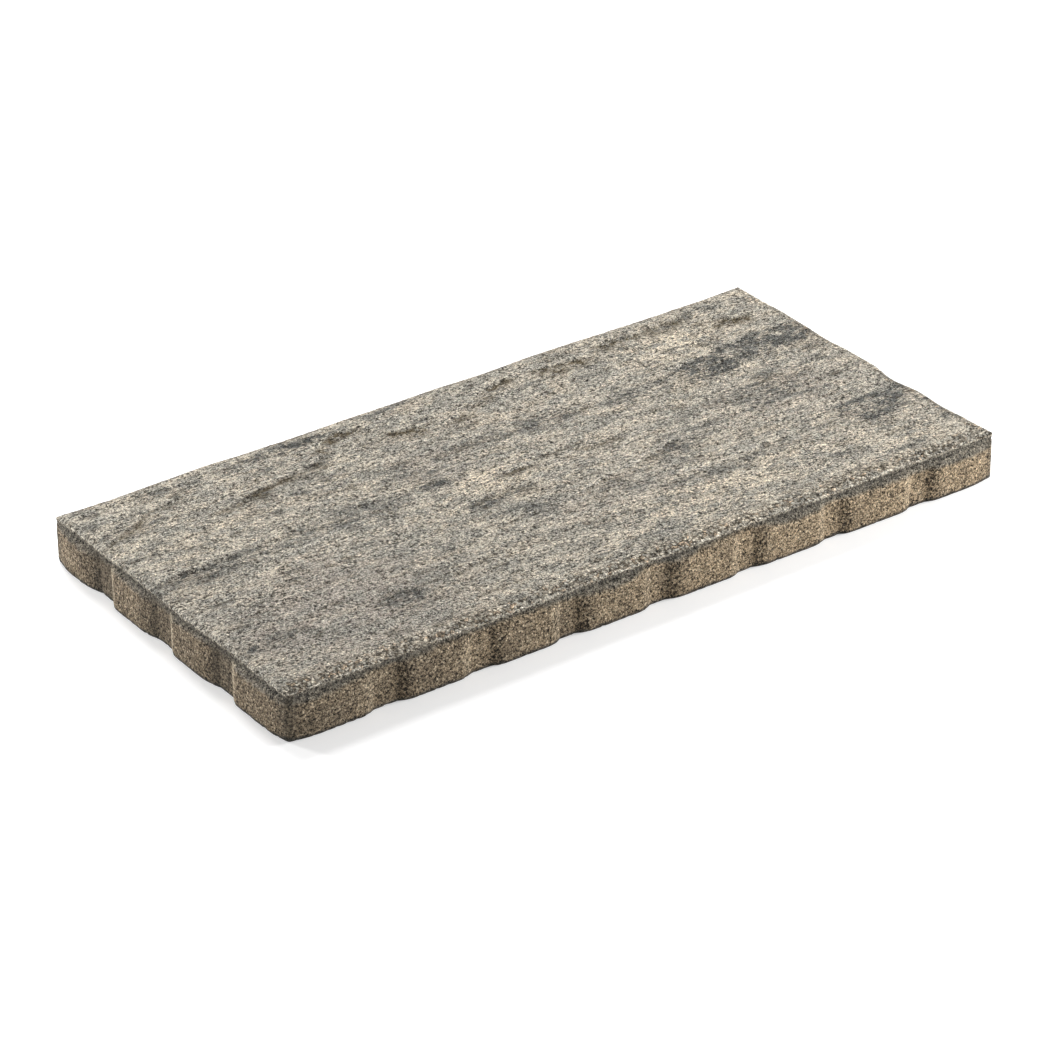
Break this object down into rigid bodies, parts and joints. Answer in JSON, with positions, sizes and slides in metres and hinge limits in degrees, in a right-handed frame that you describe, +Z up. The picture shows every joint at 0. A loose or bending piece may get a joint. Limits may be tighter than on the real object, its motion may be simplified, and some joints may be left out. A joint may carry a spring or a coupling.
{
  "type": "concrete paving slab",
  "caption": "Rectangular pressed concrete paving slab with a riven face, a hewn bevelled edge and upright spacer lobes along all four walls.",
  "frame": {"origin": "middle of the underside, on the level bed", "axes": "+X along the length, +Y across the width towards the high strip of the face, +Z up out of the riven face"},
  "size_m": [0.8, 0.4, 0.05],
  "materials": {
    "concrete": "dry-cast concrete, riven, grey with buff and charcoal streaks; tan-brown and pitted on the walls"
  },
  "bodies": {
    "root": {"paving_slab": "concrete"}
  },
  "joints": []
}
